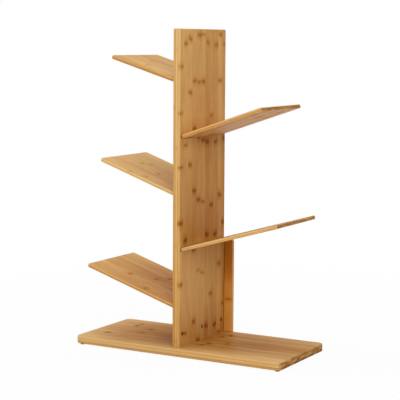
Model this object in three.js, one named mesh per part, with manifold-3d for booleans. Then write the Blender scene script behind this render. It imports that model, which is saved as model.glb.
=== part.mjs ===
// Tree shaped bookshelf: a base board, one upright board with a brace behind its foot, and
// five shelves that rise outwards from stopped grooves in the upright, three to the left
// and two to the right. Millimetres, +Z up, front at -Y, origin on the floor below the middle.

import * as THREE from 'three';
import { mergeVertices } from 'three/addons/utils/BufferGeometryUtils.js';
import Module from 'manifold-3d';

const wasm = await Module();
wasm.setup();

// Base board. On every board the edges are rounded, and the corner radius is that of the
// flat face inside the rounded edge.
const baseWidth = 514;
const baseDepth = 220;
const baseThickness = 18;
const baseFaceCornerRadius = 8;
const baseEdgeRadius = 3;

// Upright board, set back alike from the front and the rear edge of the base
const uprightHeight = 688;
const uprightThickness = 18;
const uprightSetback = 9.5;
const uprightFaceCornerRadius = 1;
const uprightEdgeRadius = 2;

// Brace behind the foot of the upright
const braceWidth = 61;
const braceHeight = 214;
const braceThickness = 8.5;
const braceFaceCornerRadius = 3.5;
const braceEdgeRadius = 1.5;

// Shelf boards. In the plan, heightShare is the height of a shelf's lower face above the base,
// where it leaves the upright, as a share of the upright's height, and reachShare its reach
// along that face to the tip, as a share of the base's width. Tilt is in degrees above level.
// The shelves' front and rear edges are set back from the upright's. The grooves run on past
// them, up to a thin end wall.
const shelfThickness = 8.5;
const shelfFaceCornerRadius = 1.5;
const shelfEdgeRadius = 2.5;
const shelfSetback = 5.5;
const grooveEndWall = 2.5;
const shelfPlan = [
  { name: 'left_bottom', side: 'left', heightShare: 0.1231, reachShare: 0.4619, tilt: 17.7 },
  { name: 'left_middle', side: 'left', heightShare: 0.4802, reachShare: 0.3928, tilt: 19.2 },
  { name: 'left_top', side: 'left', heightShare: 0.8349, reachShare: 0.3272, tilt: 16.8 },
  { name: 'right_bottom', side: 'right', heightShare: 0.3058, reachShare: 0.4679, tilt: 16.2 },
  { name: 'right_top', side: 'right', heightShare: 0.6608, reachShare: 0.3934, tilt: 18.6 },
];

// Bolts up through the base into barrel nuts that lie across the upright
const boltRadius = 2.5;
const boltHeadRadius = 6;
const boltHeadHeight = 2.8;
const boltHeadRecess = 0.4;
const boltRunout = 5.2;
const boltEndDistance = 12.5;
const socketRadius = 2.3;
const nutRadius = 4;
const nutLength = 12;
const nutHeight = 30;
const nutSlotWidth = 1;

// Dowels between the base and the upright, and in the inner end of each shelf
const baseDowelRadius = 4;
const baseDowelLength = 30;
const shelfDowelRadius = 2.5;
const shelfDowelLength = 24;

// Countersunk wood screws through the brace, and up through the base into the brace
const screwRadius = 2;
const screwHeadRadius = 3.8;
const screwHeadHeight = 2.2;
const screwHold = 26;

// Feet: round pads stuck under the corners of the base
const footRadius = 5;
const footHeight = 3;
const footChamfer = 0.6;
const footInset = 11.5;

// Gap between pieces that fit into one another, and the overrun of a cut past its piece
const fitGap = 0.3;
const overrun = 1;

// Shares of the sizes that they follow
const grooveDepthShare = 0.28;
const dowelInUprightShare = 0.3;
const dowelSpreadShare = 0.27;
const dowelInBaseShare = 0.6;
const braceScrewShares = [0.26, 0.56, 0.86];
const braceFootScrewShare = 0.3;
const socketDepthShare = 0.85;
const slotDepthShare = 0.1;
const recessWidthShare = 0.28;
const recessReachShare = 0.6;
const recessDepthShare = 0.7;
const screwTipShare = 0.2;
const chamferShare = 0.2;

// Facets of the round stretches
const cornerSteps = 4;
const edgeSteps = 2;
const roundSides = 20;
const smallSides = 12;
const hexSides = 6;

// Places and sizes that follow
const baseTop = footHeight + baseThickness;
const uprightDepth = baseDepth - 2 * uprightSetback;
const grooveHeight = shelfThickness + 2 * fitGap;
const grooveEndRadius = grooveHeight / 2;
const grooveLength = uprightDepth - 2 * grooveEndWall;
const shelfDepth = uprightDepth - 2 * shelfSetback;
const tongueLength = uprightThickness * grooveDepthShare;
const dowelInUpright = uprightThickness * dowelInUprightShare;
const boltRow = uprightDepth / 2 - boltEndDistance;
const boltSeat = boltHeadRecess + boltHeadHeight;
const boltLength = baseThickness - boltSeat + nutHeight + boltRunout;
const baseDowelDepth = baseThickness * dowelInBaseShare;
const braceBack = uprightDepth / 2 + braceThickness;
const baseCornerRadius = baseFaceCornerRadius + baseEdgeRadius;
const uprightCornerRadius = uprightFaceCornerRadius + uprightEdgeRadius;
const braceCornerRadius = braceFaceCornerRadius + braceEdgeRadius;
const shelfCornerRadius = shelfFaceCornerRadius + shelfEdgeRadius;
const footX = baseWidth / 2 - footInset;
const footY = baseDepth / 2 - footInset;

const bamboo = { roughness: 0.5, metalness: 0 };
const materials = {
  base: new THREE.MeshStandardMaterial({ color: 0xc79355, ...bamboo }),
  upright: new THREE.MeshStandardMaterial({ color: 0xb98346, ...bamboo }),
  brace: new THREE.MeshStandardMaterial({ color: 0xb0722b, ...bamboo }),
  shelf: new THREE.MeshStandardMaterial({ color: 0xcf9d5e, ...bamboo }),
  dowel: new THREE.MeshStandardMaterial({ color: 0xd9bd8c, roughness: 0.8, metalness: 0 }),
  steel: new THREE.MeshStandardMaterial({ color: 0xa9abad, roughness: 0.35, metalness: 1 }),
  foot: new THREE.MeshStandardMaterial({ color: 0x2b1f19, roughness: 0.7, metalness: 0 }),
};

const axisX = new THREE.Vector3(1, 0, 0);
const axisY = new THREE.Vector3(0, 1, 0);
const axisZ = new THREE.Vector3(0, 0, 1);

// Turns that lay a plate or a rod, made about Z, in the other planes
const faceAlongX = new THREE.Matrix4().makeBasis(axisY, axisZ, axisX);
const faceAlongFront = new THREE.Matrix4().makeBasis(axisX, axisZ, axisY.clone().negate());

const shelfUnit = new THREE.Group();
shelfUnit.name = 'tree_bookshelf';

// A closed surface with shared corners and without triangles of no area
function weld(geometry) {
  const bare = geometry.clone();
  bare.deleteAttribute('normal');
  bare.deleteAttribute('uv');
  const welded = mergeVertices(bare);
  const kept = [];
  for (let i = 0; i < welded.index.count; i += 3) {
    const [a, b, c] = [welded.index.getX(i), welded.index.getX(i + 1), welded.index.getX(i + 2)];
    if (a !== b && b !== c && c !== a) kept.push(a, b, c);
  }
  welded.setIndex(kept);
  return welded;
}

function toSolid(geometry) {
  const welded = weld(geometry);
  const vertProperties = Float32Array.from(welded.attributes.position.array);
  const triVerts = Uint32Array.from(welded.index.array);
  return new wasm.Manifold(new wasm.Mesh({ numProp: 3, vertProperties, triVerts }));
}

function toGeometry(solid) {
  const { vertProperties, triVerts } = solid.getMesh();
  const geometry = new THREE.BufferGeometry();
  geometry.setAttribute('position', new THREE.BufferAttribute(vertProperties, 3));
  geometry.setIndex(new THREE.BufferAttribute(triVerts, 1));
  geometry.computeVertexNormals();
  return geometry;
}

// The geometry with every cutter taken out of it
function carve(geometry, cutters) {
  let solid = toSolid(geometry);
  for (const cutter of cutters) solid = solid.subtract(toSolid(cutter));
  return toGeometry(solid);
}

function addMesh(parent, name, geometry, material, x = 0, y = 0, z = 0) {
  const mesh = new THREE.Mesh(geometry, material);
  mesh.name = name;
  mesh.position.set(x, y, z);
  parent.add(mesh);
  return mesh;
}

// Rectangle from (left, low) to (right, high) with a radius of its own at each corner
function outline(left, right, low, high, radii) {
  const { lowLeft = 0, lowRight = 0, highRight = 0, highLeft = 0 } = radii;
  const corners = [
    { x: right, y: low, radius: lowRight, inX: -1, inY: 1, start: -Math.PI / 2 },
    { x: right, y: high, radius: highRight, inX: -1, inY: -1, start: 0 },
    { x: left, y: high, radius: highLeft, inX: 1, inY: -1, start: Math.PI / 2 },
    { x: left, y: low, radius: lowLeft, inX: 1, inY: 1, start: Math.PI },
  ];
  const shape = new THREE.Shape();
  shape.moveTo(left + lowLeft, low);
  for (const { x, y, radius, inX, inY, start } of corners) {
    if (radius > 0) {
      shape.absarc(x + inX * radius, y + inY * radius, radius, start, start + Math.PI / 2);
    } else {
      shape.lineTo(x, y);
    }
  }
  return shape;
}

// A board on its outline, from 0 up to its thickness, with rounded edges all round
function board(shape, thickness, edgeRadius) {
  const geometry = new THREE.ExtrudeGeometry(shape, {
    depth: thickness - 2 * edgeRadius,
    curveSegments: cornerSteps,
    bevelSegments: edgeSteps,
    bevelThickness: edgeRadius,
    bevelSize: edgeRadius,
    bevelOffset: -edgeRadius,
  });
  return geometry.translate(0, 0, edgeRadius);
}

// A rod about Z from the height low to the height high
function rod(radius, low, high, sides = roundSides) {
  const geometry = new THREE.CylinderGeometry(radius, radius, high - low, sides);
  return geometry.rotateX(Math.PI / 2).translate(0, 0, (low + high) / 2);
}

// A cone about Z that widens or narrows from the radius at low to the radius at high
function cone(lowRadius, highRadius, low, high, sides = smallSides) {
  const geometry = new THREE.CylinderGeometry(highRadius, lowRadius, high - low, sides);
  return geometry.rotateX(Math.PI / 2).translate(0, 0, (low + high) / 2);
}

// A block between two opposite corners
function block(x0, x1, y0, y1, z0, z1) {
  const geometry = new THREE.BoxGeometry(x1 - x0, y1 - y0, z1 - z0);
  return geometry.translate((x0 + x1) / 2, (y0 + y1) / 2, (z0 + z1) / 2);
}

// A turned piece about Z from [radius, height] points, which start and end on the axis
function turned(points, sides) {
  const profile = points.map(([radius, height]) => new THREE.Vector2(radius, height));
  return new THREE.LatheGeometry(profile, sides).rotateX(Math.PI / 2);
}

// A dowel about Z, middle at the origin, with a chamfer at each end
function dowel(radius, length) {
  const chamfer = radius * chamferShare;
  const half = length / 2;
  return turned([
    [0, -half],
    [radius - chamfer, -half],
    [radius, chamfer - half],
    [radius, half - chamfer],
    [radius - chamfer, half],
    [0, half],
  ], smallSides);
}

// A bolt about Z: flat head from 0 up to its height with a hexagon socket, then the shank
function bolt() {
  const chamfer = boltHeadHeight * chamferShare;
  const tip = boltHeadHeight + boltLength;
  const tipChamfer = boltRadius * chamferShare;
  const body = turned([
    [0, 0],
    [boltHeadRadius - chamfer, 0],
    [boltHeadRadius, chamfer],
    [boltHeadRadius, boltHeadHeight],
    [boltRadius, boltHeadHeight],
    [boltRadius, tip - tipChamfer],
    [boltRadius - tipChamfer, tip],
    [0, tip],
  ], roundSides);
  const socket = rod(socketRadius, -overrun, boltHeadHeight * socketDepthShare, hexSides);
  return carve(body, [socket]);
}

// A barrel nut along X, with its bolt hole down the middle and a slot in its outer end
function barrelNut() {
  const half = nutLength / 2;
  const body = rod(nutRadius, -half, half).applyMatrix4(faceAlongX);
  const thread = rod(boltRadius + fitGap, -nutRadius - overrun, nutRadius + overrun);
  const slotWide = nutSlotWidth / 2;
  const slotLong = nutRadius + overrun;
  const slotFloor = half - nutLength * slotDepthShare;
  const slot = block(slotFloor, half + overrun, -slotWide, slotWide, -slotLong, slotLong);
  return carve(body, [thread, slot]);
}

// A countersunk wood screw about Z: flat head at 0, point at its length, cross recess
function woodScrew(length) {
  const tip = length * screwTipShare;
  const body = turned([
    [0, 0],
    [screwHeadRadius, 0],
    [screwRadius, screwHeadHeight],
    [screwRadius, length - tip],
    [0, length],
  ], smallSides);
  const wide = screwRadius * recessWidthShare;
  const reach = screwHeadRadius * recessReachShare;
  const floor = screwHeadHeight * recessDepthShare;
  const cross = [
    block(-reach, reach, -wide, wide, -overrun, floor),
    block(-wide, wide, -reach, reach, -overrun, floor),
  ];
  return carve(body, cross);
}

// The holes that a wood screw takes up: countersink, shank and room past the point
function screwHole(length) {
  const radius = screwRadius + fitGap;
  const flare = screwHeadRadius - screwRadius;
  const slope = flare / screwHeadHeight;
  const mouth = screwHeadRadius + fitGap + overrun * slope;
  return [
    cone(mouth, radius, -overrun, screwHeadHeight, smallSides),
    rod(radius, 0, length + fitGap, smallSides),
  ];
}

// Copies of the geometries moved and turned by a matrix
function moved(geometries, matrix) {
  return geometries.map((geometry) => geometry.clone().applyMatrix4(matrix));
}

function shift(x, y, z) {
  return new THREE.Matrix4().makeTranslation(x, y, z);
}

// Bolts stand in one row front to rear, with a dowel halfway between two bolts
const boltPlaces = { front: -boltRow, middle: 0, rear: boltRow };
const baseDowelPlaces = { front: -boltRow / 2, rear: boltRow / 2 };

// Screws through the brace point forwards, at shares of its height
const braceScrewNames = ['low', 'middle', 'high'];
const braceScrewLength = braceThickness + screwHold;
const braceScrewTurn = new THREE.Matrix4().makeRotationX(Math.PI / 2);
const braceScrewFrames = braceScrewShares.map((share) => (
  shift(0, braceBack, baseTop + braceHeight * share).multiply(braceScrewTurn)
));

// Screws up through the base into the foot of the brace
const braceFootScrewX = braceWidth * braceFootScrewShare;
const braceFootScrewY = braceBack - braceThickness / 2;
const braceFootScrewLength = baseThickness + screwHold;
const braceFootScrewFrames = {
  left: shift(-braceFootScrewX, braceFootScrewY, footHeight),
  right: shift(braceFootScrewX, braceFootScrewY, footHeight),
};

const footPlaces = {
  front_left: [-footX, -footY],
  front_right: [footX, -footY],
  rear_left: [-footX, footY],
  rear_right: [footX, footY],
};

// Each shelf has a frame at the upright's face: X along the shelf, Z up from its lower face
function shelfFrame({ side, heightShare, tilt }) {
  const left = side === 'left';
  const frame = new THREE.Group();
  const outwards = left ? -1 : 1;
  const rise = THREE.MathUtils.degToRad(tilt);
  const height = baseTop + uprightHeight * heightShare;
  frame.position.set(outwards * uprightThickness / 2, 0, height);
  frame.rotation.set(0, -outwards * rise, left ? Math.PI : 0);
  shelfUnit.add(frame);
  frame.updateMatrixWorld();
  return frame;
}

// Dowel places along a shelf's inner end: the frame of a left shelf is turned half round
function shelfDowelPlaces({ side }) {
  const spread = shelfDepth * dowelSpreadShare;
  const front = side === 'left' ? spread : -spread;
  return { front, rear: -front };
}

// Where the middle of a dowel lies along its shelf
const shelfDowelMiddle = shelfDowelLength / 2 - tongueLength - dowelInUpright;

function shelfDowelHole(y) {
  const half = shelfDowelLength / 2 + fitGap;
  const hole = rod(shelfDowelRadius + fitGap, -half, half, smallSides).applyMatrix4(faceAlongX);
  return hole.translate(shelfDowelMiddle, y, shelfThickness / 2);
}

function shelfBoard(plan) {
  const half = shelfDepth / 2;
  const tipRadii = { lowRight: shelfCornerRadius, highRight: shelfCornerRadius };
  const reach = baseWidth * plan.reachShare;
  const shape = outline(-tongueLength, reach, -half, half, tipRadii);
  const holes = Object.values(shelfDowelPlaces(plan)).map(shelfDowelHole);
  return carve(board(shape, shelfThickness, shelfEdgeRadius), holes);
}

// Groove in the upright: it runs past both edges of the shelf and ends in half rounds
function shelfGroove() {
  const half = grooveLength / 2;
  const ends = {
    lowLeft: grooveEndRadius,
    lowRight: grooveEndRadius,
    highRight: grooveEndRadius,
    highLeft: grooveEndRadius,
  };
  const shape = outline(-half, half, -grooveEndRadius, grooveEndRadius, ends);
  const floor = tongueLength + fitGap;
  const mouth = grooveHeight + overrun;
  const groove = new THREE.ExtrudeGeometry(shape, {
    depth: floor + mouth,
    curveSegments: cornerSteps,
    bevelEnabled: false,
  });
  return groove.applyMatrix4(faceAlongX).translate(-floor, 0, shelfThickness / 2);
}

function addShelves() {
  const cutters = [];
  for (const plan of shelfPlan) {
    const frame = shelfFrame(plan);
    addMesh(frame, `shelf_${plan.name}`, shelfBoard(plan), materials.shelf);
    const cuts = [shelfGroove()];
    for (const [place, y] of Object.entries(shelfDowelPlaces(plan))) {
      const peg = dowel(shelfDowelRadius, shelfDowelLength).applyMatrix4(faceAlongX);
      const name = `shelf_dowel_${plan.name}_${place}`;
      addMesh(frame, name, peg, materials.dowel, shelfDowelMiddle, y, shelfThickness / 2);
      cuts.push(shelfDowelHole(y));
    }
    cutters.push(...moved(cuts, frame.matrixWorld));
  }
  return cutters;
}

// The upright, about the middle of its foot, carved by all that it holds
function addUpright(grooves) {
  const half = uprightDepth / 2;
  const top = { highLeft: uprightCornerRadius, highRight: uprightCornerRadius };
  const shape = outline(-half, half, -uprightEdgeRadius, uprightHeight, top);
  const plank = board(shape, uprightThickness, uprightEdgeRadius).applyMatrix4(faceAlongX);
  plank.translate(-uprightThickness / 2, 0, 0);
  const wide = baseDepth;
  const sawnFoot = block(-wide, wide, -wide, wide, -wide, 0);
  const cutters = [sawnFoot, ...moved(grooves, shift(0, 0, -baseTop))];
  for (const y of Object.values(boltPlaces)) {
    const boltHole = rod(boltRadius + fitGap, -overrun, nutHeight + boltRunout + overrun);
    const nutHole = rod(nutRadius + fitGap, -nutLength / 2 - fitGap, uprightThickness);
    cutters.push(boltHole.translate(0, y, 0));
    cutters.push(nutHole.applyMatrix4(faceAlongX).translate(0, y, nutHeight));
  }
  for (const y of Object.values(baseDowelPlaces)) {
    const depth = baseDowelLength - baseDowelDepth + fitGap;
    cutters.push(rod(baseDowelRadius + fitGap, -overrun, depth).translate(0, y, 0));
  }
  for (const frame of braceScrewFrames) {
    cutters.push(...moved(screwHole(braceScrewLength), shift(0, 0, -baseTop).multiply(frame)));
  }
  addMesh(shelfUnit, 'upright_board', carve(plank, cutters), materials.upright, 0, 0, baseTop);
}

// The base, about the middle of its underside
function addBase() {
  const corners = {
    lowLeft: baseCornerRadius,
    lowRight: baseCornerRadius,
    highRight: baseCornerRadius,
    highLeft: baseCornerRadius,
  };
  const shape = outline(-baseWidth / 2, baseWidth / 2, -baseDepth / 2, baseDepth / 2, corners);
  const cutters = [];
  for (const y of Object.values(boltPlaces)) {
    const seat = rod(boltHeadRadius + fitGap, -overrun, boltSeat);
    const shank = rod(boltRadius + fitGap, -overrun, baseThickness + overrun);
    cutters.push(seat.translate(0, y, 0), shank.translate(0, y, 0));
  }
  for (const y of Object.values(baseDowelPlaces)) {
    const floor = baseThickness - baseDowelDepth - fitGap;
    const hole = rod(baseDowelRadius + fitGap, floor, baseThickness + overrun);
    cutters.push(hole.translate(0, y, 0));
  }
  for (const frame of Object.values(braceFootScrewFrames)) {
    const underside = shift(0, 0, -footHeight).multiply(frame);
    cutters.push(...moved(screwHole(braceFootScrewLength), underside));
  }
  const plank = board(shape, baseThickness, baseEdgeRadius);
  addMesh(shelfUnit, 'base_board', carve(plank, cutters), materials.base, 0, 0, footHeight);
}

// The brace, standing on the base against the rear edge of the upright
function addBrace() {
  const top = { highLeft: braceCornerRadius, highRight: braceCornerRadius };
  const shape = outline(-braceWidth / 2, braceWidth / 2, 0, braceHeight, top);
  const plank = board(shape, braceThickness, braceEdgeRadius).applyMatrix4(faceAlongFront);
  const intoBrace = shift(0, -braceBack, -baseTop);
  const cutters = [];
  for (const frame of braceScrewFrames) {
    cutters.push(...moved(screwHole(braceScrewLength), intoBrace.clone().multiply(frame)));
  }
  for (const frame of Object.values(braceFootScrewFrames)) {
    cutters.push(...moved(screwHole(braceFootScrewLength), intoBrace.clone().multiply(frame)));
  }
  addMesh(shelfUnit, 'rear_brace', carve(plank, cutters), materials.brace, 0, braceBack, baseTop);
}

function addBolts() {
  for (const [place, y] of Object.entries(boltPlaces)) {
    const head = footHeight + boltHeadRecess;
    addMesh(shelfUnit, `base_bolt_${place}`, bolt(), materials.steel, 0, y, head);
    const height = baseTop + nutHeight;
    addMesh(shelfUnit, `barrel_nut_${place}`, barrelNut(), materials.steel, 0, y, height);
  }
}

function addBaseDowels() {
  for (const [place, y] of Object.entries(baseDowelPlaces)) {
    const middle = baseTop - baseDowelDepth + baseDowelLength / 2;
    const peg = dowel(baseDowelRadius, baseDowelLength);
    addMesh(shelfUnit, `base_dowel_${place}`, peg, materials.dowel, 0, y, middle);
  }
}

function addScrew(name, length, frame) {
  const screw = addMesh(shelfUnit, name, woodScrew(length), materials.steel);
  screw.applyMatrix4(frame);
}

function addBraceScrews() {
  braceScrewFrames.forEach((frame, order) => {
    addScrew(`brace_screw_${braceScrewNames[order]}`, braceScrewLength, frame);
  });
  for (const [place, frame] of Object.entries(braceFootScrewFrames)) {
    addScrew(`brace_foot_screw_${place}`, braceFootScrewLength, frame);
  }
}

// A foot pad about Z, from the floor up to the base, chamfered round its lower edge
function footPad() {
  return turned([
    [0, 0],
    [footRadius - footChamfer, 0],
    [footRadius, footChamfer],
    [footRadius, footHeight],
    [0, footHeight],
  ], roundSides);
}

function addFeet() {
  for (const [place, [x, y]] of Object.entries(footPlaces)) {
    addMesh(shelfUnit, `foot_pad_${place}`, footPad(), materials.foot, x, y, 0);
  }
}

addBase();
addUpright(addShelves());
addBrace();
addBolts();
addBaseDowels();
addBraceScrews();
addFeet();

export default shelfUnit;
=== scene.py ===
import math

import bmesh
import bpy
from mathutils import Matrix, Vector


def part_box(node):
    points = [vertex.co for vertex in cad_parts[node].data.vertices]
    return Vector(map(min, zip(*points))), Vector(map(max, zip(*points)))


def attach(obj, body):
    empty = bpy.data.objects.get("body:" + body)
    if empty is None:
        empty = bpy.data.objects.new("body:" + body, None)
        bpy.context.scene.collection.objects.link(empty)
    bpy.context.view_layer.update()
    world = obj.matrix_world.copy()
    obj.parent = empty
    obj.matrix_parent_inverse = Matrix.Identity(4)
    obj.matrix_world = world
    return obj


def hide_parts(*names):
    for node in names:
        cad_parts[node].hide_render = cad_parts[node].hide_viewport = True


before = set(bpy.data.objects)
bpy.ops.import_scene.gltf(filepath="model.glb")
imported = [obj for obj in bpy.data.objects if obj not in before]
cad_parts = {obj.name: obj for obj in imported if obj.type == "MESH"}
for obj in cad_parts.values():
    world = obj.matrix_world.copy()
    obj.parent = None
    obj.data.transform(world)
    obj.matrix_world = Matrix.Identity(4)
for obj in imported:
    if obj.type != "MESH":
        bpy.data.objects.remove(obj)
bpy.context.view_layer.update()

MM = 0.001

# Boards in millimetres: how round corners and edges are, and sizes that no box of the frame tells
BASE_CORNER = 11
BASE_EDGE = 3
UPRIGHT_CORNER = 3
UPRIGHT_EDGE = 2
BRACE_CORNER = 5
BRACE_EDGE = 1.5
SHELF_CORNER = 4
SHELF_EDGE = 2.5
SHELF_DEPTH = 190
SHELF_THICKNESS = 8.5

# The grooves for the shelves: their reach to the front and rear, the tongue in them and its gap
GROOVE_REACH = 98
TONGUE = 5.04
FIT = 0.3

# Each shelf: side, height of its lower face above the base at the upright, reach, tilt in degrees
SHELVES = {
    "left_bottom": (-1, 84.69, 237.42, 17.7),
    "left_middle": (-1, 330.38, 201.9, 19.2),
    "left_top": (-1, 574.41, 168.18, 16.8),
    "right_bottom": (1, 210.39, 240.5, 16.2),
    "right_top": (1, 454.63, 202.21, 18.6),
}

# Barrel nuts and bolts in millimetres. The heads, shanks and bores are radii.
# An eased rim has one point between its two ends, at a share of the ease.
BOLT_ROW = 88
NUT_RADIUS = 4
NUT_LENGTH = 12
NUT_HEIGHT = 30
NUT_CHAMFER = 0.4
NUT_BORE = 2.6
NUT_SLOT_WIDTH = 1
NUT_SLOT_DEPTH = 1.4
BOLT_HEAD = 6
BOLT_HEAD_HEIGHT = 2.8
BOLT_SHANK = 2.5
BOLT_EASE = 0.5
BOLT_EASE_SHARE = 0.3
HEXAGON_RADIUS = 2.3
HEXAGON_DEPTH = 2.3

# Wood screws and feet in millimetres. The screws in the brace are at shares of its height.
SCREW_HEAD = 3.8
SCREW_RIM = 0.15
SCREW_SHANK = 2
SCREW_HEAD_HEIGHT = 2.2
SCREW_TIP_SHARE = 0.2
RECESS_REACH = 2.3
RECESS_WIDTH = 1.1
RECESS_DEPTH = 1.55
BRACE_SCREW_SHARES = {"low": 0.26, "middle": 0.56, "high": 0.86}
FOOT_EASE = 0.6
FOOT_EASE_SHARES = (0.4, 0.25)

# How finely round shapes are divided, and the angle from which an arris looks crisp
CORNER_SEGMENTS = 8
EDGE_SEGMENTS = 5
GROOVE_SEGMENTS = 12
TURN_STEPS = 48
HEXAGON_STEPS = 6
CRISP_DEGREES = 32

# How far a cutter passes a surface, and how near counts as the same place, in millimetres
OVERRUN = 1
NEAR = 0.3
HAIR = 0.01
MERGE = 0.001
PARALLEL = 0.999

base_low, base_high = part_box("base_board")
upright_low, upright_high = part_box("upright_board")
brace_low, brace_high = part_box("rear_brace")

# Turns of a shape that stands along Z: to lie along X, or to point to the front
ALONG_X = Matrix.Rotation(math.radians(90), 4, "Y")
FORWARDS = Matrix.Rotation(math.radians(90), 4, "X")


# Shapes

def placing_of(direction_x, direction_z, origin):
    """Lays a board by the directions of its grain and its upper face, from a point in mm."""
    x = Vector(direction_x).normalized()
    z = Vector(direction_z).normalized()
    y = z.cross(x)
    turn = Matrix((x, y, z)).transposed().to_4x4()
    return Matrix.Translation(Vector(origin) * MM) @ turn


def in_mm(placing):
    """The same placing for a shape that is still in millimetres."""
    turn = placing.to_3x3().to_4x4()
    return Matrix.Translation(placing.to_translation() / MM) @ turn


def size_in_mm(low, high):
    return [(b - a) / MM for a, b in zip(low, high)]


def at(x, y, z):
    return Matrix.Translation((x, y, z))


def moved(bm, matrix):
    bmesh.ops.transform(bm, matrix=matrix, verts=bm.verts)
    return bm


def as_piece(name, bm, placing=None):
    """Makes an object of a bmesh in millimetres, placed in the mesh itself."""
    bmesh.ops.scale(bm, vec=(MM, MM, MM), verts=bm.verts)
    if placing is not None:
        moved(bm, placing)
    bmesh.ops.recalc_face_normals(bm, faces=bm.faces)
    mesh = bpy.data.meshes.new(name)
    bm.to_mesh(mesh)
    bm.free()
    piece = bpy.data.objects.new(name, mesh)
    bpy.context.scene.collection.objects.link(piece)
    return piece


def block(low, high):
    bm = bmesh.new()
    bmesh.ops.create_cube(bm, size=1)
    size = Vector(high) - Vector(low)
    bmesh.ops.scale(bm, vec=size, verts=bm.verts)
    bmesh.ops.translate(bm, vec=(Vector(low) + Vector(high)) / 2, verts=bm.verts)
    return bm


def along(edge, axis):
    run = (edge.verts[1].co - edge.verts[0].co).normalized()
    return abs(run[axis]) > PARALLEL


def level(edge):
    return abs(edge.verts[0].co.z - edge.verts[1].co.z) < NEAR


def round_edges(bm, edges, radius, segments):
    bmesh.ops.bevel(
        bm, geom=edges, offset=radius, offset_type="OFFSET",
        segments=segments, profile=0.5, affect="EDGES", material=-1,
    )


def board(start, end, depth, thickness, corner, edge_radius, round_start=True):
    """Flat board along X with round corners and edges; its start end may be left square."""
    bm = block((start, -depth / 2, 0), (end, depth / 2, thickness))

    def rounded(edge):
        return round_start or any(v.co.x > start + NEAR for v in edge.verts)

    corners = [e for e in bm.edges if along(e, 2) and rounded(e)]
    round_edges(bm, corners, corner, CORNER_SEGMENTS)
    rims = [e for e in bm.edges if level(e) and rounded(e)]
    round_edges(bm, rims, edge_radius, EDGE_SEGMENTS)
    return bm


def turned(profile, steps=TURN_STEPS):
    """Closed piece turned about Z from (radius, height) points that start and end on the axis."""
    bm = bmesh.new()
    points = [bm.verts.new((radius, 0, height)) for radius, height in profile]
    edges = [bm.edges.new(pair) for pair in zip(points, points[1:])]
    bmesh.ops.spin(
        bm, geom=points + edges, cent=(0, 0, 0), axis=(0, 0, 1),
        angle=math.tau, steps=steps, use_merge=True,
    )
    bmesh.ops.remove_doubles(bm, verts=bm.verts, dist=MERGE)
    return bm


def rod(radius, low, high, steps=TURN_STEPS):
    return turned([(0, low), (radius, low), (radius, high), (0, high)], steps)


def cut(piece, cutters):
    """Takes closed shapes, given in millimetres, out of a piece."""
    tools = [as_piece("cutter", bm) for bm in cutters]
    for tool in tools:
        step = piece.modifiers.new("cut", "BOOLEAN")
        step.operation = "DIFFERENCE"
        step.solver = "EXACT"
        step.object = tool
    graph = bpy.context.evaluated_depsgraph_get()
    carved = bpy.data.meshes.new_from_object(piece.evaluated_get(graph))
    whole = piece.data
    piece.modifiers.clear()
    piece.data = carved
    carved.name = piece.name
    bpy.data.meshes.remove(whole)
    for tool in tools:
        mesh = tool.data
        bpy.data.objects.remove(tool)
        bpy.data.meshes.remove(mesh)


def finish_piece(piece, material, node):
    """Smooth shading with crisp arrises, a finish, and the CAD node that the piece stands for."""
    mesh = piece.data
    bm = bmesh.new()
    bm.from_mesh(mesh)
    crisp = math.radians(CRISP_DEGREES)
    for e in bm.edges:
        e.smooth = len(e.link_faces) == 2 and e.calc_face_angle(0) < crisp
    for f in bm.faces:
        f.smooth = True
    bm.to_mesh(mesh)
    bm.free()
    even = piece.modifiers.new("even_shading", "WEIGHTED_NORMAL")
    even.keep_sharp = True
    mesh.materials.clear()
    mesh.materials.append(material)
    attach(piece, "root")
    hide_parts(node)


# Materials

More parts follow.
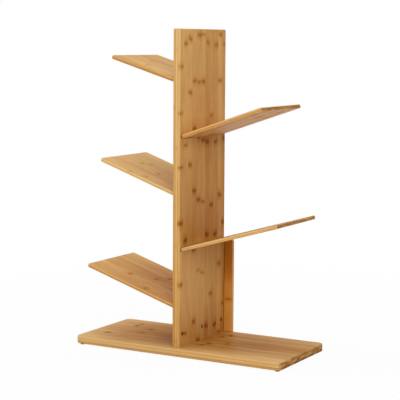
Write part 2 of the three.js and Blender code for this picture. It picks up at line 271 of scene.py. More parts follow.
class Wires:
    """Adds shader nodes to one tree. An argument is a number, a tuple or another node's socket."""

    def __init__(self, tree):
        self.tree = tree

    def feed(self, socket, value):
        if isinstance(value, bpy.types.NodeSocket):
            self.tree.links.new(value, socket)
        elif value is not None:
            socket.default_value = value

    def node(self, kind, **settings):
        made = self.tree.nodes.new(kind)
        for name, value in settings.items():
            setattr(made, name, value)
        return made

    def sum(self, operation, a, b=None, c=None):
        made = self.node("ShaderNodeMath", operation=operation)
        for socket, value in zip(made.inputs, (a, b, c)):
            self.feed(socket, value)
        return made.outputs[0]

    def sway(self, base, value, amount):
        """The base, moved by as much as a value lies above or below one half."""
        return self.sum("MULTIPLY_ADD", self.sum("SUBTRACT", value, 0.5), amount, base)

    def vector(self, operation, a, b=None, output=0):
        made = self.node("ShaderNodeVectorMath", operation=operation)
        self.feed(made.inputs[0], a)
        self.feed(made.inputs[1], b)
        return made.outputs[output]

    def join(self, x, y, z):
        made = self.node("ShaderNodeCombineXYZ")
        for socket, value in zip(made.inputs, (x, y, z)):
            self.feed(socket, value)
        return made.outputs[0]

    def split(self, vector):
        made = self.node("ShaderNodeSeparateXYZ")
        self.feed(made.inputs[0], vector)
        return made.outputs

    def spread(self, value, low, high, to_low=0.0, to_high=1.0, kind="SMOOTHSTEP"):
        made = self.node("ShaderNodeMapRange", interpolation_type=kind)
        for socket, number in zip(made.inputs, (value, low, high, to_low, to_high)):
            self.feed(socket, number)
        return made.outputs[0]

    def noise(self, vector, scale=1.0, detail=2.0):
        made = self.node("ShaderNodeTexNoise", noise_dimensions="3D")
        self.feed(made.inputs["Vector"], vector)
        made.inputs["Scale"].default_value = scale
        made.inputs["Detail"].default_value = detail
        return made.outputs[0]

    def grain(self, places, paces, detail=2.0):
        """Noise over three values, each of which has its own pace."""
        steps = [
            place if pace == 1 else self.sum("MULTIPLY", place, pace)
            for place, pace in zip(places, paces)
        ]
        return self.noise(self.join(*steps), detail=detail)

    def chance(self, vector):
        made = self.node("ShaderNodeTexWhiteNoise", noise_dimensions="3D")
        self.feed(made.inputs["Vector"], vector)
        return made.outputs["Value"], made.outputs["Color"]

    def colour(self, share, a, b, blend="MIX"):
        made = self.node("ShaderNodeMix", data_type="RGBA", blend_type=blend)
        self.feed(made.inputs[0], share)
        self.feed(made.inputs[6], a)
        self.feed(made.inputs[7], b)
        return made.outputs[2]

    def tinted(self, share, colour, tint):
        """The colour, multiplied by a tint over a share of it."""
        return self.colour(share, colour, self.colour(1.0, colour, tint, "MULTIPLY"))

    def value(self, share, a, b):
        made = self.node("ShaderNodeMix", data_type="FLOAT")
        self.feed(made.inputs[0], share)
        self.feed(made.inputs[2], a)
        self.feed(made.inputs[3], b)
        return made.outputs[0]

    def ramp(self, share, stops, kind="LINEAR"):
        """Colour ramp through (share, colour) stops."""
        made = self.node("ShaderNodeValToRGB")
        made.color_ramp.interpolation = kind
        elements = made.color_ramp.elements
        while len(elements) > 1:
            elements.remove(elements[-1])
        for number, (position, colour) in enumerate(stops):
            stop = elements[0] if number == 0 else elements.new(position)
            stop.position = position
            stop.color = colour
        self.feed(made.inputs[0], share)
        return made.outputs[0]

    def relief(self, shader, height, strength, depth):
        """Raises the surface by a height, to a depth in millimetres."""
        bump = self.node("ShaderNodeBump")
        bump.inputs["Strength"].default_value = strength
        bump.inputs["Distance"].default_value = depth * MM
        self.feed(bump.inputs["Height"], height)
        self.feed(shader.inputs["Normal"], bump.outputs[0])

    def seen(self):
        """One for a ray from the camera, also where metal or glass passes it on."""
        path = self.node("ShaderNodeLightPath")
        seen = self.sum("MAXIMUM", path.outputs["Is Camera Ray"], path.outputs["Is Glossy Ray"])
        return self.sum("MAXIMUM", seen, path.outputs["Is Transmission Ray"])


def new_group(name, inputs, outputs):
    group = bpy.data.node_groups.new(name, "ShaderNodeTree")
    for label, kind, value in inputs:
        socket = group.interface.new_socket(label, in_out="INPUT", socket_type="NodeSocket" + kind)
        socket.default_value = value
    for label, kind in outputs:
        group.interface.new_socket(label, in_out="OUTPUT", socket_type="NodeSocket" + kind)
    wires = Wires(group)
    entry = wires.node("NodeGroupInput")
    leave = wires.node("NodeGroupOutput")
    return group, wires, entry.outputs, leave.inputs


def srgb(red, green, blue):
    """A colour from its 0-255 screen values."""
    def linear(value):
        share = value / 255
        return share / 12.92 if share <= 0.04045 else ((share + 0.055) / 1.055) ** 2.4
    return (linear(red), linear(green), linear(blue), 1)


def plain_material(name, roughness, metallic=0.0):
    material = bpy.data.materials.new(name)
    material.use_nodes = True
    shader = material.node_tree.nodes["Principled BSDF"]
    shader.inputs["Roughness"].default_value = roughness
    shader.inputs["Metallic"].default_value = metallic
    return material, Wires(material.node_tree), shader


# Pressed bamboo: width of a strip in mm, and how far a ply's strips are shifted by its number
STRIP = 19
PLY_SHIFT = 0.37
FIRST_SHIFT = 0.21

# Two counts of plies that are nearer than this are the same
SAME = 0.1

# Numbers that set the luck of one ply or one mark apart from another's
PLY_LUCK = 7.31
MARK_LUCK = 3.9

# Pace of each noise: waves in a metre along the grain and across it, then through it or by strip
BROAD_PACE = (8, 330, 330)
FINE_PACE = (14, 1300, 1300)
PATCH_PACE = (16, 75, 1)
DRIFT_PACE = (3.1, 0.6, 1)
WANDER_PACE = (20, 170, 1)
FORCE_PACE = (9, 5.3, 1)
BLOTCH_PACE = (60, 210, 1)

# How much of a face's tone comes from the strip's luck and from each noise
LUCK_TONE = 0.38
PATCH_TONE = 0.5
DRIFT_TONE = 0.62
BROAD_TONE = 0.75
FINE_TONE = 0.5
EDGE_BROAD_TONE = 0.5
EDGE_FINE_TONE = 0.6

# Node marks: spacing, wander and slant in metres. The four numbers of a spread, here and below,
# are a low value, a high value, and what each of them becomes.
MARK_PITCH = 0.21
MARK_WANDER = 0.007
MARK_SLANT = 0.008
MARK_WIDTH = (0.34, 0.6, 0.68, 1.12)
MARK_FORCE = (0.34, 0.58, 0.7, 1.0)
CORE = (0.0014, 0.0062, 1.0, 0.0)
CORE_BLOTCH = (0.3, 0.6, 0.45, 1.0)
CORE_SIDES = (0.36, 0.5, 1.0, 0.25)
HALO = (0.002, 0.017, 0.8, 0.0)
HALO_SIDES = (0.3, 0.5, 1.0, 0.4)

# Strength of the marks on the long edges: what the marked ply adds, and what every ply has
EDGE_MARKS = (0.75, 0.25)

# Lines between strips, in mm from the line, and between plies, in metres, and their strengths
SEAM = (0.05, 0.4, 1.0, 0.0)
GLUE = (0.0003, 0.001, 1.0, 0.0)
FACE_SEAM = 0.3
END_SEAM = 0.6

# Ends: dots of fibres in a metre, their pace along the grain, and what darkens a strip's end
FIBRES = 1000
FIBRE_PACE = 60
DOT = (0.22, 0.5, 1.0, 0.0)
END_DOT_TONE = 0.22
END_LUCK_TONE = 0.7
END_GRADE_TONE = 0.25
MIDDLE_PLY_TONE = 0.45

# Which way a surface has to face to count as a side or an end
SIDE_FACING = (0.52, 0.83, 1.0, 0.0)
END_FACING = (0.45, 1.02)

# Gloss, and roughness with what the grain, the ends and the marks add to it
BAMBOO_GLOSS = 0.12
BASE_GLOSS = 0.04
BAMBOO_ROUGHNESS = 0.42
FINE_ROUGHNESS = 0.14
END_ROUGHNESS = 0.16
MARK_ROUGHNESS = 0.08

# Rise and fall of the surface, as shares of the relief in millimetres
BAMBOO_RELIEF = 0.2
GRAIN_RISE = 0.35
MARK_RISE = 0.5
LINE_FALL = 0.5

BAMBOO_INPUTS = (
    ("Board", "Vector", (0, 0, 0)),
    ("Facing", "Vector", (0, 0, 1)),
    ("Marks A", "Vector", (-1, -1, -1)),
    ("Marks B", "Vector", (-1, -1, -1)),
    ("Marked Ply", "Float", 0),
    ("Plies", "Float", 3),
    ("Ply Thickness", "Float", 0.006),
    ("Strip Start", "Float", -0.1),
    ("Seed", "Float", 0),
    ("Lean", "Vector", (0, 0, 0)),
    ("Shade", "Float", 0),
    ("Edge Lean", "Float", 0),
    ("Glue And Shade", "Float", 0),
    ("Pale", "Color", (0.7, 0.5, 0.3, 1)),
    ("Deep", "Color", (0.5, 0.3, 0.1, 1)),
    ("Mark", "Color", (0.5, 0.3, 0.1, 1)),
    ("Mark Halo", "Color", (0.8, 0.6, 0.4, 1)),
    ("Mark Shade", "Float", 0),
    ("Edge Pale", "Color", (0.7, 0.5, 0.3, 1)),
    ("Edge Deep", "Color", (0.5, 0.3, 0.1, 1)),
    ("Edge Tones", "Vector", (0.5, 0.5, 0.5)),
    ("Edge Marks", "Float", 0.3),
    ("End Pale", "Color", (0.5, 0.3, 0.1, 1)),
    ("End Deep", "Color", (0.3, 0.1, 0.03, 1)),
    ("End Plies", "Float", 0),
)
BAMBOO_OUTPUTS = (("Color", "Color"), ("Roughness", "Float"), ("Height", "Float"))


class Spot:
    """What the bamboo's pattern knows of one spot: its place, ply, strip, lines and grain."""

    def __init__(self, w, given):
        place = w.split(given["Board"])
        self.x, self.y, self.z = place
        self.broad = w.grain(place, BROAD_PACE)
        self.fine = w.grain(place, FINE_PACE, detail=3)
        self.find_ply(w, given)
        self.find_strip(w, given)

    def find_ply(self, w, given):
        """The ply, its tone at the edges, and how near the glue between two plies is."""
        self.layer = w.sum("DIVIDE", self.z, given["Ply Thickness"])
        last_ply = w.sum("SUBTRACT", given["Plies"], 1)
        self.ply = w.sum("MAXIMUM", w.sum("MINIMUM", w.sum("FLOOR", self.layer), last_ply), 0)
        self.marked = w.sum("COMPARE", self.ply, given["Marked Ply"], SAME)
        tones = w.split(given["Edge Tones"])
        self.ply_tone = w.value(w.sum("COMPARE", self.ply, 1, SAME), tones[0], tones[1])
        self.ply_tone = w.value(w.sum("COMPARE", self.ply, 2, SAME), self.ply_tone, tones[2])
        above = w.sum("SUBTRACT", w.sum("FRACT", self.layer), 0.5)
        inside = w.sum("SUBTRACT", 0.5, w.sum("ABSOLUTE", above))
        self.glue = w.spread(w.sum("MULTIPLY", inside, given["Ply Thickness"]), *GLUE)

    def find_strip(self, w, given):
        """The strip, how far across it the spot is, the line beside it, and the strip's luck."""
        shift = w.sum("MULTIPLY_ADD", self.ply, PLY_SHIFT, FIRST_SHIFT)
        shift = w.sum("MULTIPLY", w.sum("SUBTRACT", 1, self.marked), shift)
        course = w.sum("DIVIDE", w.sum("SUBTRACT", self.y, given["Strip Start"]), STRIP * MM)
        self.course = w.sum("ADD", course, shift)
        self.strip = w.sum("FLOOR", self.course)
        self.across = w.sum("FRACT", self.course)
        self.off_middle = w.sum("ABSOLUTE", w.sum("SUBTRACT", self.across, 0.5))
        to_line = w.sum("MULTIPLY", w.sum("SUBTRACT", 0.5, self.off_middle), STRIP)
        self.seam = w.spread(to_line, *SEAM)
        draw = w.join(self.strip, w.sum("MULTIPLY_ADD", self.ply, PLY_LUCK, given["Seed"]), 0.5)
        self.luck, lucks = w.chance(draw)
        self.luck_a, self.luck_b, self.luck_c = w.split(lucks)


def mark_distance(w, given, spot):
    """Metres to the nearest node mark: placed on the marked ply, at an even pitch elsewhere."""
    wander = w.grain((spot.x, spot.y, spot.strip), WANDER_PACE)
    place = w.sway(spot.x, wander, MARK_WANDER)
    slant = w.sum("MULTIPLY", w.sum("SUBTRACT", spot.luck_b, 0.5), MARK_SLANT)
    place = w.sway(place, spot.across, slant)
    gaps = []
    for label in ("Marks A", "Marks B"):
        away = w.vector("SUBTRACT", w.join(place, place, place), given[label])
        gaps += list(w.split(w.vector("ABSOLUTE", away)))
    placed = gaps[0]
    for gap in gaps[1:]:
        placed = w.sum("MINIMUM", placed, gap)
    turn = w.sum("SUBTRACT", w.sum("DIVIDE", place, MARK_PITCH), spot.luck_a)
    stray = w.sum("ABSOLUTE", w.sum("SUBTRACT", turn, w.sum("ROUND", turn)))
    return w.value(spot.marked, w.sum("MULTIPLY", stray, MARK_PITCH), placed)


def mark_masks(w, given, spot):
    """The dark core of a node mark and the paler halo round it."""
    luck = w.sum("ADD", spot.luck_b, MARK_LUCK)
    force = w.grain((spot.x, spot.strip, luck), FORCE_PACE, detail=1)
    distance = w.sum("DIVIDE", mark_distance(w, given, spot), w.spread(force, *MARK_WIDTH))
    gain = w.sum("MULTIPLY_ADD", given["Shade"], given["Mark Shade"], 1)
    force = w.sum("MULTIPLY", w.spread(force, *MARK_FORCE), gain)
    blotch = w.grain((spot.x, spot.y, spot.luck_c), BLOTCH_PACE)
    core = w.sum("MULTIPLY", w.spread(distance, *CORE), w.spread(blotch, *CORE_BLOTCH))
    core = w.sum("MULTIPLY", core, w.spread(spot.off_middle, *CORE_SIDES))
    core = w.sum("MULTIPLY", core, force)
    halo = w.sum("MULTIPLY", w.spread(distance, *HALO), force)
    halo = w.sum("MULTIPLY", halo, w.spread(spot.off_middle, *HALO_SIDES))
    return core, halo


def fibre_dots(w, spot):
    dots = w.node("ShaderNodeTexVoronoi", feature="F1")
    w.feed(dots.inputs["Vector"], w.join(w.sum("MULTIPLY", spot.x, FIBRE_PACE), spot.y, spot.z))
    dots.inputs["Scale"].default_value = FIBRES
    return w.spread(dots.outputs["Distance"], *DOT)


def face_colour(w, given, spot, core, halo):
    """Faces: strips of different tones with fibres, thin lines between them and node marks."""
    patch = w.grain((spot.x, spot.y, spot.luck_a), PATCH_PACE)
    drift = w.grain((spot.x, spot.course, spot.luck_b), DRIFT_PACE)
    lean = w.split(given["Lean"])
    tone = w.sway(w.sway(0.5, spot.luck, LUCK_TONE), patch, PATCH_TONE)
    tone = w.sum("MULTIPLY_ADD", spot.x, lean[0], w.sum("ADD", tone, lean[2]))
    tone = w.sum("MULTIPLY_ADD", spot.y, lean[1], tone)
    # Shade is the board's tone ramps: partly its own tone and partly painted shade
    tone = w.sway(w.sum("ADD", tone, given["Shade"]), drift, DRIFT_TONE)
    tone = w.sway(w.sway(tone, spot.broad, BROAD_TONE), spot.fine, FINE_TONE)
    face = w.colour(tone, given["Pale"], given["Deep"])
    face = w.tinted(w.sum("MULTIPLY", spot.seam, FACE_SEAM), face, given["Mark Halo"])
    face = w.tinted(halo, face, given["Mark Halo"])
    return w.tinted(core, face, given["Mark"])


def edge_colour(w, given, spot, core, halo):
    """Long edges: plies as bands with thin glue lines, and the ends of the node marks."""
    tone = w.sum("MULTIPLY_ADD", spot.x, given["Edge Lean"], spot.ply_tone)
    tone = w.sway(w.sway(tone, spot.broad, EDGE_BROAD_TONE), spot.fine, EDGE_FINE_TONE)
    edge = w.colour(tone, given["Edge Pale"], given["Edge Deep"])
    edge = w.tinted(spot.glue, edge, given["Mark Halo"])
    kept = w.sum("MULTIPLY_ADD", spot.marked, *EDGE_MARKS)
    kept = w.sum("MULTIPLY", given["Edge Marks"], kept)
    edge = w.tinted(w.sum("MULTIPLY", halo, kept), edge, given["Mark Halo"])
    return w.tinted(w.sum("MULTIPLY", core, kept), edge, given["Mark"])


def end_colour(w, given, spot, dot):
    """Ends: blocks of strips with dark fibre ends."""
    grade = w.sum("FRACT", w.sum("ADD", spot.layer, spot.luck_b))
    tone = w.sum("MULTIPLY", grade, END_GRADE_TONE)
    tone = w.sum("MULTIPLY_ADD", spot.luck_c, END_LUCK_TONE, tone)
    tone = w.sum("MULTIPLY_ADD", dot, END_DOT_TONE, tone)
    ply_tone = w.sum("SUBTRACT", spot.ply_tone, MIDDLE_PLY_TONE)
    tone = w.sum("MULTIPLY_ADD", ply_tone, given["End Plies"], tone)
    end = w.colour(tone, given["End Pale"], given["End Deep"])
    lines = w.sum("MULTIPLY", w.sum("MAXIMUM", spot.glue, spot.seam), END_SEAM)
    return w.tinted(lines, end, given["Mark Halo"])


def pressed_bamboo_group():
    """Flat-pressed bamboo: plies of strips with node marks on the faces, fine lines along the
    edges and fibre ends at the ends. Board is metres along the grain, across and through."""
    group, w, given, result = new_group("pressed_bamboo", BAMBOO_INPUTS, BAMBOO_OUTPUTS)
    spot = Spot(w, given)
    core, halo = mark_masks(w, given, spot)
    dot = fibre_dots(w, spot)
    facing = w.split(w.vector("ABSOLUTE", given["Facing"]))
    is_side = w.spread(facing[2], *SIDE_FACING)
    is_end = w.spread(facing[0], *END_FACING, kind="LINEAR")
    edge = edge_colour(w, given, spot, core, halo)
    side = w.colour(is_end, edge, end_colour(w, given, spot, dot))
    shown = w.colour(is_side, face_colour(w, given, spot, core, halo), side)
    # Joints darkened with the Mark tint: glue and painted shade
    w.feed(result["Color"], w.tinted(given["Glue And Shade"], shown, given["Mark"]))
    rough = w.sum("MULTIPLY_ADD", spot.fine, FINE_ROUGHNESS, BAMBOO_ROUGHNESS)
    rough = w.sum("MULTIPLY_ADD", is_end, END_ROUGHNESS, rough)
    rough = w.sum("MULTIPLY_ADD", w.sum("MAXIMUM", core, halo), MARK_ROUGHNESS, rough)
    w.feed(result["Roughness"], rough)
    height = w.sum("MULTIPLY", spot.fine, GRAIN_RISE)
    height = w.sum("MULTIPLY_ADD", spot.broad, GRAIN_RISE, height)
    height = w.sum("SUBTRACT", height, w.sum("MULTIPLY", spot.seam, LINE_FALL))
    fibres = w.sum("MULTIPLY", w.sum("MULTIPLY", dot, is_end), LINE_FALL)
    height = w.sum("SUBTRACT", height, fibres)
    w.feed(result["Height"], w.sum("MULTIPLY_ADD", core, MARK_RISE, height))
    return group


# Ramps over one board. The margin in mm keeps a mark's place above 0, which stands for none,
# and the middle of a tone ramp stands for no change.
RAMP_MARGIN = 40
RAMP_MIDDLE = 0.5
MARKS_IN_RAMP = 3


def mark_ramp(w, share, rows, length):
    """Places of the marks of each strip, three to a ramp: mm along the board, 0 for none."""
    whole = length + RAMP_MARGIN
    stops = []
    for number, row in enumerate(rows):
        places = [(mark + RAMP_MARGIN) / whole if mark else 0.0 for mark in row]
        stops.append((number / len(rows), (*places, 1)))
    scaled = w.vector("MULTIPLY", w.ramp(share, stops, "CONSTANT"), (whole * MM,) * 3)
    return w.vector("SUBTRACT", scaled, (RAMP_MARGIN * MM,) * 3)


def tone_and_shade_ramp(w, coordinate, tones, start, length):
    """Change of tone one way over a board, partly its own and partly painted shade, from pairs of a
    place in mm and the change there.
    """
    share = w.spread(coordinate, start * MM, (start + length) * MM, kind="LINEAR")
    stops = [(mm / length, (change + RAMP_MIDDLE,) * 3 + (1,)) for mm, change in tones]
    return w.sum("SUBTRACT", w.ramp(share, stops), RAMP_MIDDLE)


# Glue and painted shade in the joints, in millimetres: the soft end of the darkening, and the
# painted contact shadow above a board's foot
JOINT_SHADE_FADE = 0.3
NO_LIMIT = 1000
FOOT_SHADE_LINE = (1, 2.6)
FOOT_SHADE_STRENGTH = 0.9


def glue_and_shade_mask(w, object_place, reach, half_depth=NO_LIMIT, top=NO_LIMIT):
    """Mask for glue and painted shade at the joints with the upright: all that lies within the
    reach, in mm from the upright's middle, and not beyond the half depth or the top."""
    x, y, z = w.split(object_place)
    glue_and_shade = w.spread(w.sum("ABSOLUTE", x), reach * MM, (reach + JOINT_SHADE_FADE) * MM, 1.0, 0.0)
    glue_and_shade = w.sum("MULTIPLY", glue_and_shade, w.sum("LESS_THAN", w.sum("ABSOLUTE", y), half_depth * MM))
    return w.sum("MULTIPLY", glue_and_shade, w.sum("LESS_THAN", z, top * MM))


def foot_shade_line(w, object_place, foot):
    """Mask for the painted contact shadow along the joint of a board that stands at the height
    foot, in mm.
    """
    low, high = FOOT_SHADE_LINE
    height = w.split(object_place)[2]
    return w.spread(height, (foot + low) * MM, (foot + high) * MM, FOOT_SHADE_STRENGTH, 0.0)


def as_laid(w, source, placing):
    """A spot's place and its surface's direction, as the board is laid."""
    back = placing.inverted()
    place = w.node("ShaderNodeMapping", vector_type="POINT")
    place.inputs["Location"].default_value = back.to_translation()
    place.inputs["Rotation"].default_value = back.to_euler("XYZ")
    w.feed(place.inputs["Vector"], source["Object"])
    facing = w.node("ShaderNodeMapping", vector_type="VECTOR")
    facing.inputs["Rotation"].default_value = back.to_euler("XYZ")
    w.feed(facing.inputs["Vector"], source["Normal"])
    return place.outputs[0], facing.outputs[0]


def place_marks(w, wood, across_grain, strip_start, length, marks):
    """Gives each strip the places of its marks, through two ramps."""
    strip_end = strip_start + STRIP * len(marks)
    share = w.spread(across_grain, strip_start * MM, strip_end * MM, kind="LINEAR")
    rows = [tuple(row) + (0,) * (2 * MARKS_IN_RAMP - len(row)) for row in marks]
    first = mark_ramp(w, share, [row[:MARKS_IN_RAMP] for row in rows], length)
    second = mark_ramp(w, share, [row[MARKS_IN_RAMP:] for row in rows], length)
    w.feed(wood.inputs["Marks A"], first)
    w.feed(wood.inputs["Marks B"], second)


def bamboo(
    name, placing, look, strip_start, length, depth,
    marks=(), marked_ply=-1, tones=(), cross_tones_and_shade=(), glue_and_shade=(), foot=0, gloss=BAMBOO_GLOSS,
    **values,
):
    """The bamboo finish of one board, laid as the board is laid. The look and the last values
    are inputs of the pattern, by name."""
    material, w, shader = plain_material(name, BAMBOO_ROUGHNESS)
    source = w.node("ShaderNodeTexCoord").outputs
    place, facing = as_laid(w, source, placing)
    wood = w.node("ShaderNodeGroup", node_tree=pressed_bamboo)
    w.feed(wood.inputs["Board"], place)
    w.feed(wood.inputs["Facing"], facing)
    # Glue and painted shade in the joints, and a painted contact shadow along a foot
    if glue_and_shade:
        mask = glue_and_shade_mask(w, source["Object"], *glue_and_shade)
        if foot:
            mask = w.sum("MAXIMUM", mask, foot_shade_line(w, source["Object"], foot))
        w.feed(wood.inputs["Glue And Shade"], mask)
    along_grain, across_grain, _ = w.split(place)
    # The board's tone ramps, which hold both its own tone and painted shade
    shade = tone_and_shade_ramp(w, along_grain, tones, 0, length) if tones else 0
    if cross_tones_and_shade:
        shade = w.sum("ADD", shade, tone_and_shade_ramp(w, across_grain, cross_tones_and_shade, -depth / 2, depth))
    w.feed(wood.inputs["Shade"], shade)
    wood.inputs["Strip Start"].default_value = strip_start * MM
    wood.inputs["Marked Ply"].default_value = marked_ply
    if marks:
        place_marks(w, wood, across_grain, strip_start, length, marks)
    for label, value in {**look, **values}.items():
        wood.inputs[label.replace("_", " ")].default_value = value
    w.feed(shader.inputs["Base Color"], wood.outputs["Color"])
    w.feed(shader.inputs["Roughness"], wood.outputs["Roughness"])
    w.relief(shader, wood.outputs["Height"], strength=0.25, depth=BAMBOO_RELIEF)
    shader.inputs["Specular IOR Level"].default_value = gloss
    return material


# Ranges of a noise that a finish makes use of, and the ranges of its roughness
NOISE_RANGE = (0.3, 0.7)
BLOOM_RANGE = (0.35, 0.65)
FLECK_RANGE = (0.35, 0.7)
STEEL_ROUGHNESS = (0.26, 0.44)
RUBBER_ROUGHNESS = (0.6, 0.82)


def plated_steel(name, bright, bloomed):
    """Plated steel with a faint bloom and turning marks."""
    material, w, shader = plain_material(name, roughness=0.34, metallic=1.0)
    source = w.node("ShaderNodeTexCoord").outputs["Object"]
    bloom = w.noise(source, scale=180, detail=3)
    shade = w.colour(w.spread(bloom, *BLOOM_RANGE), bright, bloomed)
    w.feed(shader.inputs["Base Color"], shade)
    scratches = w.noise(source, scale=2600)
    w.feed(shader.inputs["Roughness"], w.spread(scratches, *NOISE_RANGE, *STEEL_ROUGHNESS))
    w.relief(shader, scratches, strength=0.2, depth=0.05)
    return material


def foot_rubber():
    """Dark brown rubber, matt, with a fine moulded grain."""
    material, w, shader = plain_material("foot_rubber", roughness=0.7)
    source = w.node("ShaderNodeTexCoord").outputs["Object"]
    grain = w.noise(source, scale=1900, detail=3)
    cloud = w.noise(source, scale=300)
    shade = w.colour(w.spread(cloud, *NOISE_RANGE), srgb(34, 27, 24), srgb(56, 44, 38))
    w.feed(shader.inputs["Base Color"], shade)
    w.feed(shader.inputs["Roughness"], w.spread(grain, *NOISE_RANGE, *RUBBER_ROUGHNESS))
    w.relief(shader, grain, strength=0.35, depth=0.1)
    return material


def dowel_wood():
    """Bare beech with short dark flecks along the rod."""
    material, w, shader = plain_material("dowel_beech", roughness=0.75)
    source = w.node("ShaderNodeTexCoord").outputs["Object"]
    flecks = w.noise(source, scale=900, detail=3)
    shade = w.colour(w.spread(flecks, *FLECK_RANGE), srgb(224, 196, 150), srgb(190, 150, 104))
    w.feed(shader.inputs["Base Color"], shade)
    w.relief(shader, flecks, strength=0.3, depth=0.1)
    return material


zinc_steel = plated_steel("zinc_steel", srgb(150, 152, 156), srgb(176, 170, 158))
dark_steel = plated_steel("dark_steel", srgb(74, 68, 62), srgb(58, 50, 42))
rubber = foot_rubber()
beech = dowel_wood()
pressed_bamboo = pressed_bamboo_group()

# Colours of the wood that all boards share, then what each board has of its own. Seed picks the
# luck of its strips. Lean is the change of tone along it, across it and all over.
WOOD = {
    "Pale": srgb(221, 175, 107),
    "Deep": srgb(180, 115, 38),
    "Mark": (0.6, 0.38, 0.08, 1),
    "Mark_Halo": (0.86, 0.7, 0.4, 1),
    "Edge_Pale": srgb(236, 192, 124),
    "Edge_Deep": srgb(205, 137, 58),
    "End_Pale": srgb(200, 149, 87),
    "End_Deep": srgb(130, 77, 30),
}
FAINT_MARKS = {"Mark": (0.78, 0.62, 0.35, 1), "Mark_Halo": (0.92, 0.84, 0.66, 1)}
UPRIGHT_WOOD = {
    **WOOD, "Edge_Pale": srgb(240, 200, 134), "Edge_Deep": srgb(206, 144, 70),
    "Seed": 671.0, "Lean": (-0.1, 0, 0), "Mark_Shade": 1.1,
    "Edge_Lean": -0.8, "Edge_Tones": (0.73, 0.6, 0.98), "Edge_Marks": 0.8,
}
BASE_WOOD = {
    **WOOD, "Pale": srgb(223, 182, 123), "Deep": srgb(182, 120, 40),
    "Edge_Pale": srgb(238, 200, 138), "Edge_Deep": srgb(206, 150, 80),
    "End_Pale": srgb(206, 156, 92), "End_Plies": 0.6,
    # Its Edge_Tones keep the lowest ply deep: partly its own colour, partly painted shade under the
    # rounded lower arris
    "Seed": 1345.0, "Lean": (0, 0.7, 0.11),
    "Edge_Lean": 0.35, "Edge_Tones": (0.73, 0.2, 0.24), "Edge_Marks": 0.0,
}
# The brace's Lean makes it darker towards its top: painted shade under the lower right shelf
BRACE_WOOD = {
    **WOOD, "Pale": srgb(226, 170, 84), "Deep": srgb(192, 120, 42),
    "Seed": 23.0, "Lean": (4.0, 0, -0.38), "Edge_Tones": (0.6, 0.3, 0.3),
}

# What each shelf has of its own
# The deep lower ply in each shelf's Edge_Tones is partly its own colour and partly painted shade
# under the rounded lower arris
SHELF_WOOD = {
    "left_bottom": {
        "Seed": 4810.0, "Lean": (-0.6, 0, 0.07), "Edge_Tones": (0.8, 0.22, 0.22),
        "Mark": (0.7, 0.5, 0.2, 1), "Mark_Halo": (0.89, 0.77, 0.52, 1),
    },
    "left_middle": {
        **FAINT_MARKS,
        "Seed": 5254.0, "Lean": (-1.6, 0, 0.2), "Edge_Tones": (0.85, 0.15, 0.15),
        "Pale": srgb(233, 193, 126), "Deep": srgb(188, 134, 66),
        "Edge_Pale": srgb(244, 208, 148), "Edge_Deep": srgb(232, 180, 98),
    },
    "left_top": {
        **FAINT_MARKS,
        "Seed": 2909.0, "Lean": (1.3, 0, -0.16), "Edge_Tones": (0.85, 0.42, 0.42),
        "Pale": srgb(221, 181, 112), "Deep": srgb(175, 122, 50),
    },
    "right_bottom": {
        "Seed": 52.0, "Edge_Tones": (0.75, 0.2, 0.2),
        "Edge_Pale": srgb(238, 198, 138), "Edge_Deep": srgb(226, 174, 94),
    },
    "right_top": {
        "Seed": 59.0, "Edge_Tones": (0.68, 0.15, 0.15),
        "Pale": srgb(231, 180, 104), "Deep": srgb(186, 120, 48),
    },
}

# Where a board's first strip starts, in mm across it from its middle
UPRIGHT_STRIPS = -105.5
BASE_STRIPS = -114
BRACE_STRIPS = -30
SHELF_STRIPS = -102.5

# Node marks on the upright's right face, from its front strip to its rear, in mm up from the base
UPRIGHT_MARKS = (
    (138, 272, 393, 509, 608),
    (28, 233, 439, 657),
    (396, 552, 667),
    (48, 207, 338, 474, 577),
    (2, 160, 317, 453, 574, 675),
    (152, 310, 447, 574, 676),
    (28, 235, 442, 659),
    (99, 300, 500),
    (25, 232, 440, 654),
    (4, 162, 319, 575, 677),
    (67, 255, 445, 655),
)

# The same on the base's upper face, in mm from its left end
BASE_MARKS = (
    (), (), (), (46, 292), (299,), (114, 335), (), (114,), (64, 291), (66, 303), (), (210,),
)

# From the brace's right strip to its left strip, in mm up from the base
BRACE_MARKS = ((76,), (140,), (20,), (88,))

# From the rear strip of a left shelf to its front strip, in mm out from the upright
SHELF_MARKS = {
    "left_middle": ((), (201,), (), (), (137,), (150,), (90,), (), (), (87,), (124,)),
    "left_bottom": ((), (), (), (95,), (), (108,), (), (156,), (), (87,), ()),
    "left_top": ((), (60,), (), (), (), (120,), (), (), (95,), (), ()),
}

# Change of tone up the upright, partly the board's own tone and partly painted shade: darker at the
# foot and near the right shelves
UPRIGHT_TONES_AND_SHADE = (
    (0, 0.18), (30, 0.17), (80, -0.06), (150, -0.11), (215, 0.04), (240, 0.26),
    (280, 0.26), (340, 0.12), (425, 0.05), (445, 0.22), (500, -0.2), (560, -0.11),
)

# Change of tone along the base from its left end, and across it from its front: partly the board's
# own tone and partly painted shade, darker near the upright
BASE_TONES_AND_SHADE = (
    (0, -0.4), (50, -0.25), (95, 0.04), (150, 0.19), (230, 0.27), (272, 0.2),
    (304, 0.1), (360, 0.05), (410, 0.05), (460, -0.02), (514, -0.04),
)
BASE_CROSS_TONES_AND_SHADE = ((0, -0.13), (55, -0.04), (92, 0.17), (130, -0.03), (165, 0.07), (215, -0.26))

# Change of tone up the brace, which is darker above its middle: partly the board's own tone and
# partly painted shade under the lower right shelf
BRACE_TONES_AND_SHADE = (
    (0, 0), (28, -0.06), (55, -0.26), (97, -0.22), (112, -0.26), (128, 0.02),
    (140, 0.16), (155, 0.2), (175, 0.1), (214, 0.04),
)

